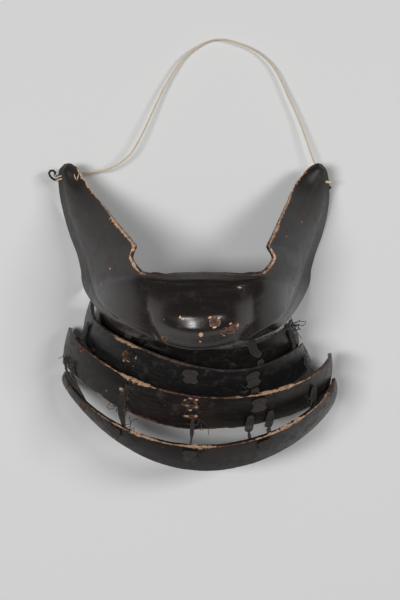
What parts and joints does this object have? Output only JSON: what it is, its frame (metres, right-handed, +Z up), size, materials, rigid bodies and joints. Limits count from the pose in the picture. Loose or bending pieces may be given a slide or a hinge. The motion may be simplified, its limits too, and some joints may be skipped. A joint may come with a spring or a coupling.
{
  "type": "samurai half mask for the chin and cheeks with a laced throat guard",
  "caption": "Worn lacquered samurai half mask that covers chin and cheeks, lying on its open back, with a laced throat guard of curved lames and a thin twine from tip to tip.",
  "frame": {"origin": "middle of the bounding box at the surface that the mask rests on, without the loose twine", "axes": "+Z up, out of the chin; +Y towards the two cheek tips; +X towards the picture's right"},
  "size_m": [0.1597, 0.238, 0.1029],
  "materials": {
    "lacquer": "worn dark brown lacquer, glossy, with tan edges and chips",
    "lacing": "frayed dark braid",
    "twine": "pale twisted twine"
  },
  "bodies": {
    "root": {"mask_shell": "lacquer", "lame_1": "lacquer", "lame_2": "lacquer", "lame_3": "lacquer", "lame_4": "lacquer", "lace_jaw_1_left": "lacing", "lace_jaw_1_right": "lacing", "lace_1_2_left": "lacing", "lace_1_2_right": "lacing", "lace_1_2_far_right": "lacing", "lace_2_3_left": "lacing", "pad_2_middle": "lacing", "pad_2_right": "lacing", "lace_2_3_right": "lacing", "lace_2_3_far_right": "lacing", "pad_3_right": "lacing", "lace_3_4_far_left": "lacing", "lace_3_4_near_left": "lacing", "lace_3_4_left": "lacing", "lace_3_4_middle": "lacing", "lace_3_4_right_a": "lacing", "lace_3_4_right_b": "lacing", "lace_3_4_far_right": "lacing", "pad_4_left": "lacing", "pad_4_middle": "lacing", "pad_4_right": "lacing", "left_tip_ring": "twine", "right_tip_ring": "twine", "left_tip_knot": "lacing", "right_tip_knot": "lacing", "twine": "twine"}
  },
  "joints": []
}
